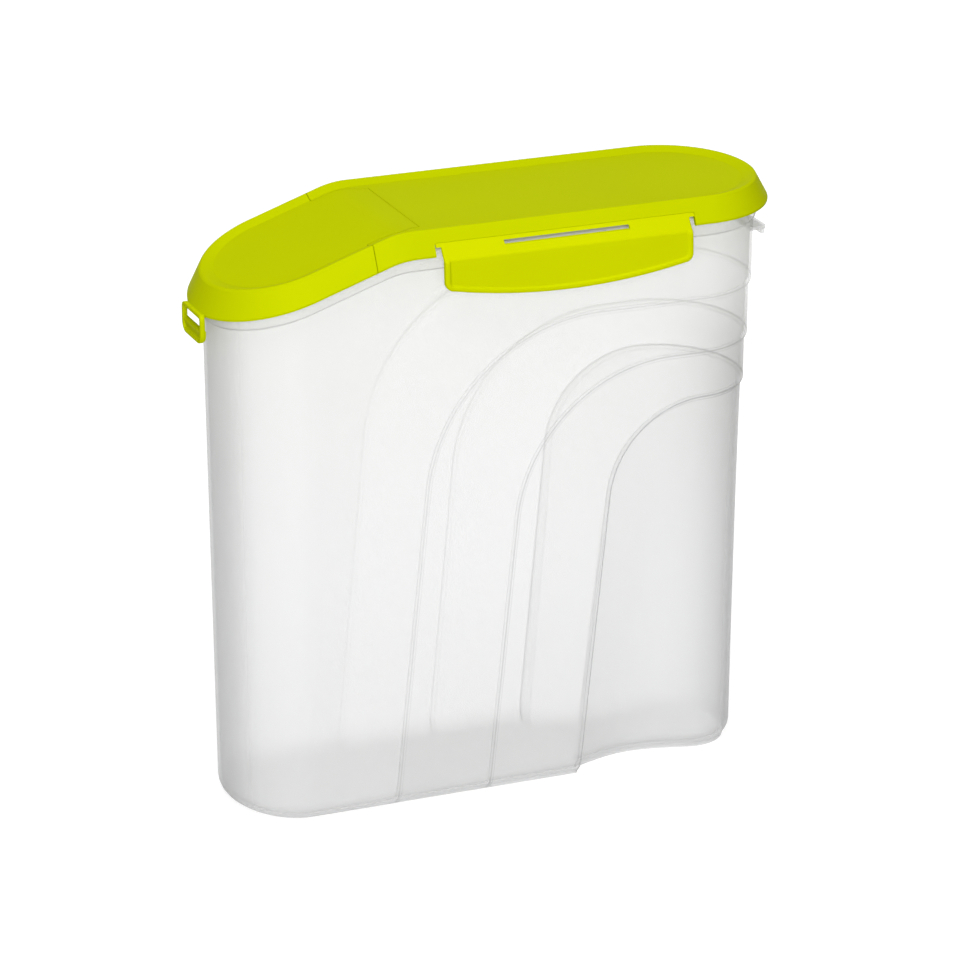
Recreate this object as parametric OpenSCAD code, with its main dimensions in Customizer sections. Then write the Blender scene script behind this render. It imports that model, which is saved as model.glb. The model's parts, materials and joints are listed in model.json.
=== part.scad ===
// Oblong food keeper with a lid whose front part flips up as a pouring spout.
// X runs from the nose (-X, pouring end) to the rear (+X), Y across, Z up.
// The origin is the middle of the flat base.

/* [Tub] */
// Length of the tub at its base
base_length = 243.6; // [225:0.2:270]
// Width of the tub at its base
base_width = 74.6; // [68:0.2:90]
// Reach of the rounded nose end along the length
nose_reach = 30; // [26:0.5:36]
// Reach of the rounded rear end along the length
rear_reach = 33; // [28:0.5:40]
// How far each wall leans out between the base and the shoulder
draft = 3.1; // [1.5:0.1:5]
// Height of the lid skirt's lower edge over the rear section
shoulder_z = 253.4; // [245:0.2:280]
// Radius around the edge of the base
foot_radius = 7.5; // [4:0.5:10]
// Thickness of the tub's walls
wall = 1.3; // [0.9:0.1:2]
// Thickness of the tub's floor
floor_t = 2; // [1.2:0.1:3]

/* [Nose slope] */
// Place along the length where the rim starts to fall towards the nose
bend_x = -53.5; // [-62:0.5:-48]
// Fall of the nose section in degrees
nose_slope = 18.7; // [12:0.1:22]
// Radius of the bend
bend_radius = 40; // [10:1:40]

/* [Arc steps] */
// Depth of each step into the wall
step_depth = 1.1; // [0.6:0.1:1.6]
// Width of the sloping face of a step
step_riser = 1.5; // [0.6:0.1:2.5]
// Lean of the upright part of the arcs in degrees
arc_lean = 5.6; // [2:0.1:9]
// Foot of the outer arc along the length
outer_arc_x = -53.5; // [-60:0.5:-45]
// Height of the outer arc
outer_arc_top = 217; // [205:1:222]
// Radius of the outer arc
outer_arc_radius = 79; // [60:1:95]
// Foot of the middle arc along the length
middle_arc_x = -9.8; // [-20:0.1:0]
// Height of the middle arc
middle_arc_top = 192; // [185:1:200]
// Radius of the middle arc
middle_arc_radius = 72; // [50:1:85]
// Foot of the inner arc along the length
inner_arc_x = 33.9; // [28:0.1:40]
// Height of the inner arc
inner_arc_top = 171; // [160:1:180]
// Radius of the inner arc
inner_arc_radius = 44; // [30:1:50]

/* [Grip] */
// Depth of the grip hollow at the base, each side
grip_depth = 15.9; // [8:0.1:19]
// Middle of the grip hollow along the length
grip_x = 64; // [58:0.5:68]
// Spread of the hollow towards the nose
grip_spread_front = 23; // [18:0.5:28]
// Spread of the hollow towards the rear
grip_spread_rear = 26; // [20:0.5:32]

/* [Tub rim] */
// How far the collar reaches below the lid's skirt
collar_drop = 6.2; // [4:0.1:9]
// How far the collar stands out from the wall
collar_out = 1; // [0.5:0.1:2]
// How far the clip ledge stands out from the wall
ledge_out = 5.1; // [4:0.1:6.5]
// Thickness of the clip ledge
ledge_t = 2; // [1.2:0.1:3]
// Width of the tab at the rear
tab_width = 16.8; // [14:0.1:30]
// Reach of the rear tab from the wall
tab_reach = 7.6; // [5:0.1:10]
// Drop of the rear tab's lip
tab_lip = 4.5; // [2.5:0.1:6]
// Thickness of the rear tab
tab_t = 1.8; // [1.2:0.1:2.4]
// Distance of the rear tab below the lid's skirt
tab_drop = 16.7; // [10:0.1:20]

/* [Lid] */
// How far the skirt's lower edge stands out from the tub
skirt_out = 6; // [4.5:0.1:8]
// Rise from the skirt's lower edge to the crest
crest_rise = 11; // [9.5:0.1:14]
// How far the panel lies below the crest
panel_sink = 1.8; // [1:0.1:2.5]
// Distance from the crest inwards to the panel
panel_inset = 5.4; // [4:0.1:8]
// Thickness of the lid's plates
lid_t = 1.5; // [1:0.1:2]
// Depth of the plug that enters the tub
plug_depth = 6.5; // [3:0.1:10]
// Free space between pieces that fit together
fit = 0.3; // [0.2:0.05:0.4]

/* [Flip spout] */
// Place of the seam across the skirt
seam_x = -65.4; // [-72:0.2:-60]
// Place of the hinge line across the panel
hinge_x = -40.5; // [-44:0.2:-36]
// Half width of the tongue next to the seam
tongue_half = 33.6; // [28:0.1:34]
// Half width of the tongue at the hinge line
hinge_half = 30.2; // [24:0.1:32]
// Length of the tongue's narrow end
hinge_neck = 3; // [1:0.1:6]
// Length of the tongue's slanted shoulders
hinge_taper = 6.5; // [3:0.1:10]
// Free space between the flap's plug and the tub, taken up as the flap swings
flap_plug_gap = 2.2; // [2:0.1:4]
// Depth of the flap's plug
flap_plug_depth = 3.2; // [2:0.1:3.6]

/* [Finger loop] */
// Width of the loop
loop_width = 24.6; // [20:0.1:30]
// Height of the loop
loop_height = 13.3; // [12:0.1:16]
// Width of the loop's side bars
loop_bar = 1.8; // [1.4:0.1:3]
// Thickness of the loop's frame
loop_t = 2.2; // [1.6:0.1:2.4]
// Distance of the loop's front face from the skirt's edge
loop_reach = 1.4; // [1:0.1:1.8]
// Height of the loop's top above the skirt's edge
loop_rise = 1.6; // [1:0.1:1.8]
// Height of the window in the loop
loop_window = 5.7; // [5:0.1:6.5]
// Thickness of the lower bar that the finger lifts
loop_grip_t = 2.6; // [2.4:0.1:3]
// Radius of the loop's lower corners
loop_corner = 5.5; // [3:0.1:6]

/* [Side clips] */
// Place of the clip's end nearest the nose
clip_x = -36.3; // [-39:0.1:-34]
// Length of the clip
clip_length = 114.2; // [100:0.1:118]
// Height of the clip's hinge line above the skirt's edge
clip_hinge_rise = 5.6; // [4.5:0.1:7]
// Height of the fold below the hinge line
clip_fold_drop = 6.7; // [6:0.1:10]
// How far the fold stands out from the hinge line
clip_fold_out = 5.5; // [5:0.1:7]
// Height of the clip from its hinge line to the lowest edge
clip_height = 25.2; // [23:0.1:28]
// How far the lower edge bows down in the middle
clip_bow = 5.1; // [2:0.1:6]
// Radius of the clip's lower corners
clip_corner = 4; // [2:0.1:5]
// Thickness of the clip
clip_t = 1.6; // [1.2:0.1:2]
// Radius of the raised bead along the edge
clip_bead = 1; // [0.6:0.1:1.4]
// Free length of the skirt at each end of a clip
notch_length = 2.6; // [2:0.1:6]
// Height of the strip along the hinge line, above the slot and the notches
hinge_strip = 1.6; // [1.2:0.1:2.2]
// Length of the slot below the hinge strip
slot_length = 57.6; // [30:0.1:70]
// Height of the slot
slot_height = 1.7; // [1:0.1:2.4]

/* [Hidden] */

tub_colour = [0.93, 0.93, 0.92, 0.6];
lid_colour = [0.78, 0.83, 0.05];
flap_colour = [0.72, 0.77, 0.05];
clip_colour = [0.8, 0.86, 0.1];

end_steps = 10;                  // segments in each quarter of the tub's rounded ends
rim_steps = 13;                  // segments in each quarter of the rim's and the lid's rounded ends
bend_steps = 5;                  // segments in the bend of the rim
grip_steps = 12;                 // segments along the grip hollow
grip_rings = 6;                  // rings up the grip hollow
foot_steps = 3;                  // segments in the foot radius
arc_steps = 16;                  // segments in an arc step
far = 2 * base_length;           // longer than anything in the model
sliver = 0.01;                   // overlap that joins two shapes

half_base = base_width / 2;
half_rim = half_base + draft;
nose_centre = nose_reach - base_length / 2;
rear_centre = base_length / 2 - rear_reach;
blank_top = shoulder_z + 2 * crest_rise;

// Bend of the rim, as seen from the side
bend_centre = bend_x + bend_radius * tan(nose_slope / 2);
bend_start = bend_centre - bend_radius * sin(nose_slope);

// Height of the skirt's lower edge at a place along the length
function edge_z(x) =
    x >= bend_centre ? shoulder_z :
    x > bend_start ? shoulder_z - bend_radius + sqrt(pow(bend_radius, 2) - pow(x - bend_centre, 2)) :
    shoulder_z - (bend_x - x) * tan(nose_slope);

// Places along the straight sides at which an outline has points: through the bend and along the grip
bend_places = [for (i = [0 : bend_steps]) bend_start + (bend_centre - bend_start) * i / bend_steps];
grip_start = inner_arc_x - 6;
grip_places = [for (i = [0 : grip_steps - 1]) grip_start + (rear_centre - grip_start) * i / grip_steps];

// Front half of the outline, from the nose tip to the rear tip, grown by g all round
function front_half(g, places, steps) = concat(
    [for (i = [0 : steps])
        [nose_centre - (nose_reach + g) * cos(90 * i / steps), -(half_base + g) * sin(90 * i / steps)]],
    [for (x = places) [x, -(half_base + g)]],
    [for (i = [0 : steps])
        [rear_centre + (rear_reach + g) * sin(90 * i / steps), -(half_base + g) * cos(90 * i / steps)]]);

// The whole outline, anticlockwise as seen from above
function outline(g, places, steps) =
    let (half = front_half(g, places, steps), n = len(half))
    concat(half, [for (i = [n - 2 : -1 : 1]) [half[i][0], -half[i][1]]]);

// Share of the grip's depth at a place along the length and a height
function grip_share(x, z) =
    let (middle = grip_x + z * tan(arc_lean),
         off = (x - middle) / (x < middle ? grip_spread_front : grip_spread_rear),
         fade = z >= inner_arc_top ? 0 : 1 - pow(z / inner_arc_top, 2))
    fade * exp(-off * off / 2);

// An outline at a height, drawn in by the grip hollows
function pinch(points, z) =
    [for (p = points) [p[0], p[1] * (1 - grip_depth / half_base * grip_share(p[0], z))]];

// Rings of the tub's form at a distance inside the outer wall: [height, growth]
function wall_rings(inside, bottom, extra) =
    let (r = foot_radius - inside, start = bottom + r)
    concat(
        [for (i = [0 : foot_steps])
            let (a = 90 * i / foot_steps)
            [start - r * cos(a), -r * (1 - sin(a))]],
        [for (i = [1 : extra]) [start + (inner_arc_top - start) * i / extra, 0]],
        [[blank_top, 0]]);

// A closed solid through rings of equal length
module loft(rings) {
    n = len(rings[0]);
    last = len(rings) - 1;
    sides = [for (k = [0 : last - 1], i = [0 : n - 1])
        let (a = k * n + i, b = k * n + (i + 1) % n)
        [a, b, b + n, a + n]];
    caps = [[for (i = [n - 1 : -1 : 0]) i], [for (i = [0 : n - 1]) last * n + i]];
    polyhedron([for (ring = rings, p = ring) p], [for (f = concat(sides, caps)) [for (i = [len(f) - 1 : -1 : 0]) f[i]]]);
}

// Growth of the tub's wall at a height, set back by whole steps and lying inside the outer wall
function growth(ring, steps, inside) = ring[1] - inside - steps * step_depth + draft * ring[0] / shoulder_z;

// The tub's plain form
module tub_blank(steps, inside, bottom) {
    loft([for (ring = wall_rings(inside, bottom, 0))
        [for (p = outline(growth(ring, steps, inside), [], end_steps)) [p[0], p[1], ring[0]]]]);
}

// The innermost form, pinched by the grip hollows
module grip_blank(steps, inside, bottom) {
    loft([for (ring = wall_rings(inside, bottom, grip_rings))
        let (plain = outline(growth(ring, steps, inside), grip_places, end_steps))
        [for (p = pinch(plain, ring[0])) [p[0], p[1], ring[0]]]]);
}

// Side view of what lies within an arc step, grown by g
function arc_zone(foot, top, radius, g) =
    let (r = radius + g,
         start = top - radius + radius * sin(arc_lean),
         cx = foot + start * tan(arc_lean) + radius * cos(arc_lean),
         cz = top - radius,
         low = -10,
         low_x = foot + low * tan(arc_lean) - g / cos(arc_lean))
    concat(
        [[far, low], [low_x, low]],
        [for (i = [0 : arc_steps])
            let (a = 180 - arc_lean - (90 - arc_lean) * i / arc_steps)
            [cx + r * cos(a), cz + r * sin(a)]],
        [[far, cz + r]]);

// A thin upright sheet of a side view, leaning with the wall
module zone_sheet(points, y) {
    lean = draft / shoulder_z;
    multmatrix([[1, 0, 0, 0], [0, 1, -lean, -y], [0, 0, 1, 0], [0, 0, 0, 1]])
        rotate([90, 0, 0])
            linear_extrude(height = sliver)
                polygon(points);
}

// Cutter of one arc step through the whole width, with sloping risers that run on past both walls
module step_cutter(arc, steps, grow) {
    past = 0.4 * step_depth;
    outer = half_base - steps * step_depth - grow + past;
    inner = outer - step_depth - 2 * past;
    spread = step_riser * (0.5 + past / step_depth);
    wide = arc_zone(arc[0], arc[1], arc[2], grow + spread);
    tight = arc_zone(arc[0], arc[1], arc[2], grow - spread);
    for (side = [0, 1])
        mirror([0, side, 0]) {
            hull() {
                zone_sheet(wide, outer);
                zone_sheet(tight, inner);
            }
            hull() {
                zone_sheet(wide, outer);
                zone_sheet(wide, 2 * outer);
            }
            hull() {
                zone_sheet(tight, inner);
                zone_sheet(tight, -inner / 2);
            }
        }
}

arcs = [
    [outer_arc_x, outer_arc_top, outer_arc_radius],
    [middle_arc_x, middle_arc_top, middle_arc_radius],
    [inner_arc_x, inner_arc_top, inner_arc_radius]];

// The stepped form of the tub, at a distance inside its outer surface
module tub_form(inside, bottom) {
    for (k = [0 : len(arcs) - 1])
        difference() {
            tub_blank(k, inside, bottom);
            step_cutter(arcs[k], k, inside);
        }
    grip_blank(len(arcs), inside, bottom);
}

// Everything below a line that lies h above the skirt's lower edge
module below_edge(h) {
    places = concat([-far], bend_places, [far]);
    for (i = [0 : len(places) - 2])
        hull()
            for (x = [places[i], places[i + 1]])
                translate([x, -far / 2, -far])
                    cube([sliver, far, far + edge_z(x) + h]);
}

// A section of [distance out from the tub, height above the skirt's edge], run round the outline
module ring_sweep(section) {
    n = len(section);
    paths = [for (s = section) outline(draft + s[0], bend_places, rim_steps)];
    m = len(paths[0]);
    points = [for (i = [0 : m - 1], j = [0 : n - 1]) let (p = paths[j][i]) [p[0], p[1], edge_z(p[0]) + section[j][1]]];
    faces = [for (i = [0 : m - 1], j = [0 : n - 1])
        let (a = i * n + j, b = i * n + (j + 1) % n, c = ((i + 1) % m) * n + (j + 1) % n, d = ((i + 1) % m) * n + j)
        [a, b, c, d]];
    polyhedron(points, faces);
}

// The same, closed by bent plates over the first and the last path of the section
module capped_sweep(section) {
    n = len(section);
    paths = [for (s = section) outline(draft + s[0], bend_places, rim_steps)];
    m = len(paths[0]);
    half = m / 2;
    points = [for (i = [0 : m - 1], j = [0 : n - 1]) let (p = paths[j][i]) [p[0], p[1], edge_z(p[0]) + section[j][1]]];
    sides = [for (i = [0 : m - 1], j = [0 : n - 2])
        let (a = i * n + j, b = ((i + 1) % m) * n + j)
        [a, a + 1, b + 1, b]];
    strips = [for (i = [0 : half - 1])
        i == 0 ? [0, 1, m - 1] :
        i == half - 1 ? [i, half, m - i] :
        [i, i + 1, m - i - 1, m - i]];
    under = [for (f = strips) [for (i = f) i * n]];
    over = [for (f = strips) [for (k = [len(f) - 1 : -1 : 0]) f[k] * n + n - 1]];
    polyhedron(points, concat(sides, under, over));
}

// Heights above the skirt's lower edge
panel_rise = crest_rise - panel_sink;
seat_rise = panel_rise - lid_t;
rim_rise = seat_rise - fit;

// Outer face of the skirt, which leans from its blunt lower edge in to the crest
lip = 0.5;                       // softening of the skirt's lower edge and of the crest
crest_half = 0.9;                // half width of the crest
function skirt_face(rise) =
    skirt_out - (skirt_out - crest_half) * (rise - 2 * lip) / (crest_rise - 3 * lip);

// Places of the clips
clip_end = clip_x + clip_length;
clip_middle = clip_x + clip_length / 2;
clip_hinge_z = shoulder_z + clip_hinge_rise;
clip_hinge_y = half_rim + skirt_face(clip_hinge_rise);
clip_fold_blunt = 0.8;           // softening of the fold
clip_face_lean = 1.2;            // how far the face leans out from the fold to the lower edge
ledge_z = shoulder_z - collar_drop - ledge_t / 2;
ledge_inset = 6;                 // distance of a ledge's ends from the clip's ends
ledge_flare = 2;                 // how much longer and taller a ledge is at its root
catch_rib = 1.8;                 // height of the rib that snaps below a ledge

module collar() {
    foot = 1.2;
    top = 1.5;
    root = -wall / 2;
    ring_sweep([[root, top], [root, -collar_drop - foot], [collar_out, -collar_drop], [collar_out, top - 2 * collar_out]]);
}

module clip_ledges() {
    for (side = [0, 1])
        mirror([0, side, 0])
            hull() {
                translate([clip_x + ledge_inset, -half_rim - ledge_out, ledge_z])
                    cube([clip_length - 2 * ledge_inset, sliver, ledge_t]);
                translate([clip_x + ledge_inset - ledge_flare, -half_rim, ledge_z - ledge_flare])
                    cube([clip_length - 2 * ledge_inset + 2 * ledge_flare, wall / 2, ledge_t + ledge_flare]);
            }
}

module rear_tab() {
    rear = rear_centre + rear_reach + draft;
    top = shoulder_z - tab_drop;
    corner = 2;
    root = 2.5;
    hull() {
        for (side = [-1, 1])
            translate([rear + tab_reach - corner, side * (tab_width / 2 - corner), top - tab_t])
                cylinder(r = corner, h = tab_t, $fn = 24);
        translate([rear - root, -tab_width / 2, top - tab_t])
            cube([root / 2, tab_width, tab_t]);
    }
    hull()
        for (side = [-1, 1])
            translate([rear + tab_reach - corner, side * (tab_width / 2 - corner), top - tab_lip])
                intersection() {
                    cylinder(r = corner, h = tab_lip, $fn = 24);
                    translate([0, -corner, 0])
                        cube([corner, 2 * corner, tab_lip]);
                }
}

module container() {
    color(tub_colour)
        difference() {
            union() {
                intersection() {
                    tub_form(0, 0);
                    below_edge(rim_rise);
                }
                collar();
                clip_ledges();
                rear_tab();
            }
            tub_form(wall, floor_t);
        }
}

// Rim, crest, skirt and panel of the whole cover, before the flap is parted from it
module cover_shell() {
    skirt_foot = lid_t * 1.15;
    capped_sweep([
        [2 * fit, seat_rise],
        [skirt_out - skirt_foot, 0],
        [skirt_out - lip, 0],
        [skirt_out, 2 * lip],
        [crest_half, crest_rise - lip],
        [0, crest_rise],
        [-crest_half, crest_rise - lip / 3],
        [-panel_inset, panel_rise]]);
}

// Plan of the flap, grown by g
module flap_plan(g) {
    polygon([
        [-far, -far], [seam_x + g, -far],
        [seam_x + g, -tongue_half - g],
        [hinge_x - hinge_neck - hinge_taper, -tongue_half - g],
        [hinge_x - hinge_neck, -hinge_half - g],
        [hinge_x + g, -hinge_half - g],
        [hinge_x + g, hinge_half + g],
        [hinge_x - hinge_neck, hinge_half + g],
        [hinge_x - hinge_neck - hinge_taper, tongue_half + g],
        [seam_x + g, tongue_half + g],
        [seam_x + g, far], [-far, far]]);
}

module flap_region(g) {
    translate([0, 0, -far])
        linear_extrude(height = 3 * far)
            flap_plan(g);
}

// Wall that hangs below the cover inside the tub's rim
module plug(gap, depth, t) {
    out = -wall - gap;
    root = seat_rise + lid_t / 2;
    foot = rim_rise - depth;
    lead_in = 0.6;
    ring_sweep([[out - t, root], [out - t, foot], [out - lead_in, foot], [out, foot + 2 * lead_in], [out, root]]);
}

// Opening in the skirt in which a clip sits
module clip_window() {
    corner = 2 * fit;
    low = shoulder_z - skirt_out;
    for (side = [0, 1])
        mirror([0, side, 0])
            translate([0, -half_rim - fit, 0])
                rotate([90, 0, 0])
                    linear_extrude(height = 2 * skirt_out)
                        hull() {
                            for (x = [clip_x - notch_length + corner, clip_end + notch_length - corner])
                                translate([x, clip_hinge_z - corner])
                                    circle(r = corner, $fn = 24);
                            translate([clip_x - notch_length, low])
                                square([clip_length + 2 * notch_length, 1]);
                        }
}

module lid() {
    // Wall across the lid behind the hinge line, which closes the plug
    cross_x = hinge_x + 2;
    cross_half = half_rim - wall - fit - lid_t / 2;
    cross_depth = plug_depth - 0.5;
    color(lid_colour)
        difference() {
            union() {
                cover_shell();
                plug(fit, plug_depth, lid_t);
                translate([cross_x, -cross_half, shoulder_z + rim_rise - cross_depth])
                    cube([lid_t, 2 * cross_half, cross_depth + fit + lid_t / 2]);
            }
            flap_region(fit);
            clip_window();
        }
}

// Outline of the loop, seen from the nose and drawn in by an inset
module loop_outline(low, top, inset) {
    upper_corner = 3;
    half = loop_width / 2;
    hull()
        for (side = [-1, 1]) {
            translate([side * (half - loop_corner), low + loop_corner])
                circle(r = loop_corner - inset, $fn = 40);
            translate([side * (half - upper_corner), top - upper_corner])
                circle(r = upper_corner - inset, $fn = 32);
        }
}

// Frame that hangs from the skirt's edge, with a window and a scooped lower bar
module finger_loop() {
    nose_x = nose_centre - nose_reach - draft - skirt_out;
    face_x = nose_x - loop_reach;
    top = edge_z(nose_x) + loop_rise;
    half = loop_width / 2;
    head = 1.8;                      // height of the bar above the window
    head_t = loop_reach + 1.4 * lid_t; // depth of that bar, which reaches into the skirt
    lip = 1.4;                       // height of the lip below the scoop
    scoop = 1.3;                     // depth of the scoop
    grip_rise = 0.9;                 // rise of the lower bar's top towards the tub
    blunt = 0.9;
    window_top = top - head;
    window_low = window_top - loop_window;
    low = top - loop_height;
    window_corner = 1;
    difference() {
        translate([face_x, 0, 0])
            rotate([90, 0, 90])
                linear_extrude(height = loop_t)
                    loop_outline(low, top, 0);
        translate([face_x - loop_t / 2, 0, 0])
            rotate([90, 0, 90])
                linear_extrude(height = 2 * loop_t)
                    hull() {
                        for (side = [-1, 1])
                            translate([side * (half - loop_bar - window_corner), window_top - window_corner])
                                circle(r = window_corner, $fn = 24);
                        for (side = [-1, 1])
                            translate([side * (half - loop_bar - loop_corner / 2), low + lip + loop_corner / 2])
                                circle(r = loop_corner / 2, $fn = 24);
                    }
    }
    // Head that joins the frame to the skirt's edge
    translate([face_x + loop_t / 2, -half + 2 * blunt, window_top + blunt / 4])
        cube([head_t - loop_t / 2, loop_width - 4 * blunt, head - blunt / 2]);
    // Lower bar, with its front scooped out for the finger
    intersection() {
        translate([face_x, half, 0])
            rotate([90, 0, 0])
                linear_extrude(height = loop_width)
                    polygon([
                        [blunt / 4, window_low],
                        [loop_grip_t, window_low + grip_rise],
                        [loop_grip_t, low + lip + blunt],
                        [loop_grip_t - blunt, low + lip / 2],
                        [blunt / 2, low + lip / 2],
                        [blunt / 2, low + lip + blunt / 3],
                        [scoop, low + lip + blunt]]);
        translate([face_x - loop_t, 0, 0])
            rotate([90, 0, 90])
                linear_extrude(height = 2 * loop_t + loop_grip_t)
                    loop_outline(low, top, blunt / 3);
    }
}

module spout_flap() {
    color(flap_colour) {
        intersection() {
            union() {
                cover_shell();
                difference() {
                    plug(flap_plug_gap, flap_plug_depth, lid_t);
                    translate([seam_x - 2, -far / 2, 0])
                        cube([far, far, far]);
                }
            }
            flap_region(0);
        }
        finger_loop();
    }
}

// Front view of a clip, with its lower edge bowed down in the middle
module clip_front_view() {
    rise = clip_height - clip_bow;
    bow_r = (pow(clip_length / 2 - clip_corner, 2) + pow(clip_bow, 2)) / (2 * clip_bow);
    // Strip along the hinge line, which runs on past the clip's ends
    translate([clip_x - notch_length + fit, -hinge_strip])
        square([clip_length + 2 * (notch_length - fit), hinge_strip - fit]);
    hull() {
        translate([clip_x, -clip_fold_drop])
            square([clip_length, clip_fold_drop - fit]);
        for (x = [clip_x + clip_corner, clip_end - clip_corner])
            translate([x, -rise + clip_corner])
                circle(r = clip_corner, $fn = 40);
        translate([clip_middle, -rise - clip_bow + bow_r])
            intersection() {
                circle(r = bow_r, $fn = 360);
                translate([-clip_length / 2 + clip_corner, -bow_r])
                    square([clip_length - 2 * clip_corner, clip_bow]);
            }
    }
}

// Side view of a clip: outer surface from the hinge line over the fold to the lower edge
module clip_section() {
    fold = [clip_fold_out, -clip_fold_drop];
    foot = [clip_fold_out + clip_face_lean, -clip_height - 1];
    polygon([
        [0, 0],
        fold + clip_fold_blunt * [-1, 1],
        fold + clip_fold_blunt * [0, -1],
        foot,
        foot - [clip_t, 0],
        fold - [clip_t, clip_fold_blunt],
        fold - [clip_t + clip_fold_blunt / 2, -clip_fold_blunt / 2],
        clip_t * [-0.7, -0.9]]);
}

// Bead that stands out along the ends and the lower edge
module clip_bead_line() {
    inset = 1.4 * clip_bead;
    bead_top = -clip_fold_drop - 2 * clip_fold_blunt;
    rise = clip_height - clip_bow;
    span = clip_length / 2 - inset;
    pieces = 10;
    low = [for (i = [0 : pieces])
        let (u = 2 * i / pieces - 1)
        [clip_middle + u * (span - clip_corner / 2), -rise + inset - clip_bow * (1 - u * u)]];
    path = concat([[clip_x + inset, bead_top], [clip_x + inset, -rise + clip_corner]], low,
        [[clip_end - inset, -rise + clip_corner], [clip_end - inset, bead_top]]);
    lean = clip_face_lean / (clip_height - clip_fold_drop);
    for (i = [0 : len(path) - 2])
        hull()
            for (p = [path[i], path[i + 1]])
                translate([p[0], -clip_fold_out + (p[1] + clip_fold_drop) * lean + clip_bead / 3, p[1]])
                    sphere(r = clip_bead, $fn = 16);
}

module clip() {
    translate([0, -clip_hinge_y, clip_hinge_z]) {
        difference() {
            intersection() {
                translate([0, clip_t, 0])
                    rotate([90, 0, 0])
                        linear_extrude(height = 3 * clip_fold_out)
                            clip_front_view();
                translate([clip_x - notch_length, 0, 0])
                    rotate([90, 0, 90])
                        linear_extrude(height = clip_length + 2 * notch_length)
                            mirror([1, 0, 0])
                                clip_section();
            }
            translate([clip_middle - slot_length / 2, -clip_fold_out, -hinge_strip - slot_height])
                cube([slot_length, 2 * clip_fold_out, slot_height]);
        }
        clip_bead_line();
        clip_catch();
    }
}

// Rib inside a clip that snaps below the tub's ledge
module clip_catch() {
    reach = half_rim + ledge_out + fit - clip_hinge_y;
    z = ledge_z - clip_hinge_z - fit - catch_rib;
    back = clip_fold_out - clip_t / 2;
    flare = catch_rib / 2;
    hull() {
        translate([clip_x + ledge_inset, -back, z - flare])
            cube([clip_length - 2 * ledge_inset, sliver, catch_rib + 2 * flare]);
        translate([clip_x + ledge_inset, -reach, z])
            cube([clip_length - 2 * ledge_inset, sliver, catch_rib]);
    }
}

module clip_front() {
    color(clip_colour)
        clip();
}

module clip_back() {
    color(clip_colour)
        mirror([0, 1, 0])
            clip();
}

container();
lid();
spout_flap();
clip_front();
clip_back();
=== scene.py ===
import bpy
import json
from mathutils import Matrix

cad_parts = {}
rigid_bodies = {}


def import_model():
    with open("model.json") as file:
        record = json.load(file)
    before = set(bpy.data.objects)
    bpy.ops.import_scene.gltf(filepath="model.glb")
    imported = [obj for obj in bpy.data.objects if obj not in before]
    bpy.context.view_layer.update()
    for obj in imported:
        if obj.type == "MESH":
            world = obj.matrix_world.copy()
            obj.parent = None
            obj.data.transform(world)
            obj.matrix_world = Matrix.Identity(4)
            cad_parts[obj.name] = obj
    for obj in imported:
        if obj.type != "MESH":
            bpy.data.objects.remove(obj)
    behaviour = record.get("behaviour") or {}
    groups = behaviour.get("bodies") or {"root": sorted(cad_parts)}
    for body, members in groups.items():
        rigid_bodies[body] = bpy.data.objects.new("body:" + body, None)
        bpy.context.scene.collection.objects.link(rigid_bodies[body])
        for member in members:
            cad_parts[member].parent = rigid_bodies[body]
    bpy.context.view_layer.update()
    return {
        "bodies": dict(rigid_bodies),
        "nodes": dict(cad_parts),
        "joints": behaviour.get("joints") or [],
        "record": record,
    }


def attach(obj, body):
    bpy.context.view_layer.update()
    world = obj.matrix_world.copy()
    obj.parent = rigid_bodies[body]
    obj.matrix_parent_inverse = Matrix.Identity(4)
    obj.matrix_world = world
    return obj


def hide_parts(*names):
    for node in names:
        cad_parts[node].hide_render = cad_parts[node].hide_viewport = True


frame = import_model()

import json
import math

import bmesh
import bpy
import numpy as np
from mathutils import Matrix, Vector
from mathutils.geometry import delaunay_2d_cdt

# Sizes of the container in millimetres; those that the part's source has too keep its names.
# X runs from the pouring nose to the rear, Y across and Z up from the middle of the base.
MM = 0.001

# Tub: outline at the base, growth up to the shoulder, walls
BASE_LENGTH = 243.6
HALF_BASE = 37.3
NOSE_REACH = 30.0
REAR_REACH = 33.0
DRAFT = 3.1
SHOULDER_Z = 253.4
FOOT_RADIUS = 7.5
WALL = 1.3
FLOOR_T = 2.0
HALF_RIM = HALF_BASE + DRAFT
NOSE_CENTRE = NOSE_REACH - BASE_LENGTH / 2
REAR_CENTRE = BASE_LENGTH / 2 - REAR_REACH

# Bend where the lid slopes down to the nose
BEND_X = -53.5
NOSE_SLOPE = math.radians(18.7)
BEND_RADIUS = 40.0
BEND_END = BEND_X + BEND_RADIUS * math.tan(NOSE_SLOPE / 2)
BEND_START = BEND_END - BEND_RADIUS * math.sin(NOSE_SLOPE)

# Arc steps in the long walls, from the outer one in: foot along X, top height, radius
STEP_DEPTH = 1.1
STEP_RISER = 1.5
ARC_LEAN = math.radians(5.6)
ARCS = [(-53.5, 217.0, 79.0), (-9.8, 192.0, 72.0), (33.9, 171.0, 44.0)]

# Grip hollow
GRIP_DEPTH = 15.9
GRIP_X = 64.0
GRIP_SPREAD_FRONT = 23.0
GRIP_SPREAD_REAR = 26.0

# Collar, clip ledges and rear tab
COLLAR_DROP = 6.2
COLLAR_OUT = 1.0
COLLAR_ROOT = -0.65
COLLAR_FOOT = 1.2
COLLAR_HEAD = 1.5
LEDGE_OUT = 5.1
LEDGE_T = 2.0
TAB_WIDTH = 16.8
TAB_REACH = 7.6
TAB_LIP = 4.5
TAB_T = 1.8
TAB_DROP = 16.7
TAB_CORNER = 2.5
TAB_ROOT = 0.4
TAB_LIP_T = 1.6
LEDGE_INSET = 6.0

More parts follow.
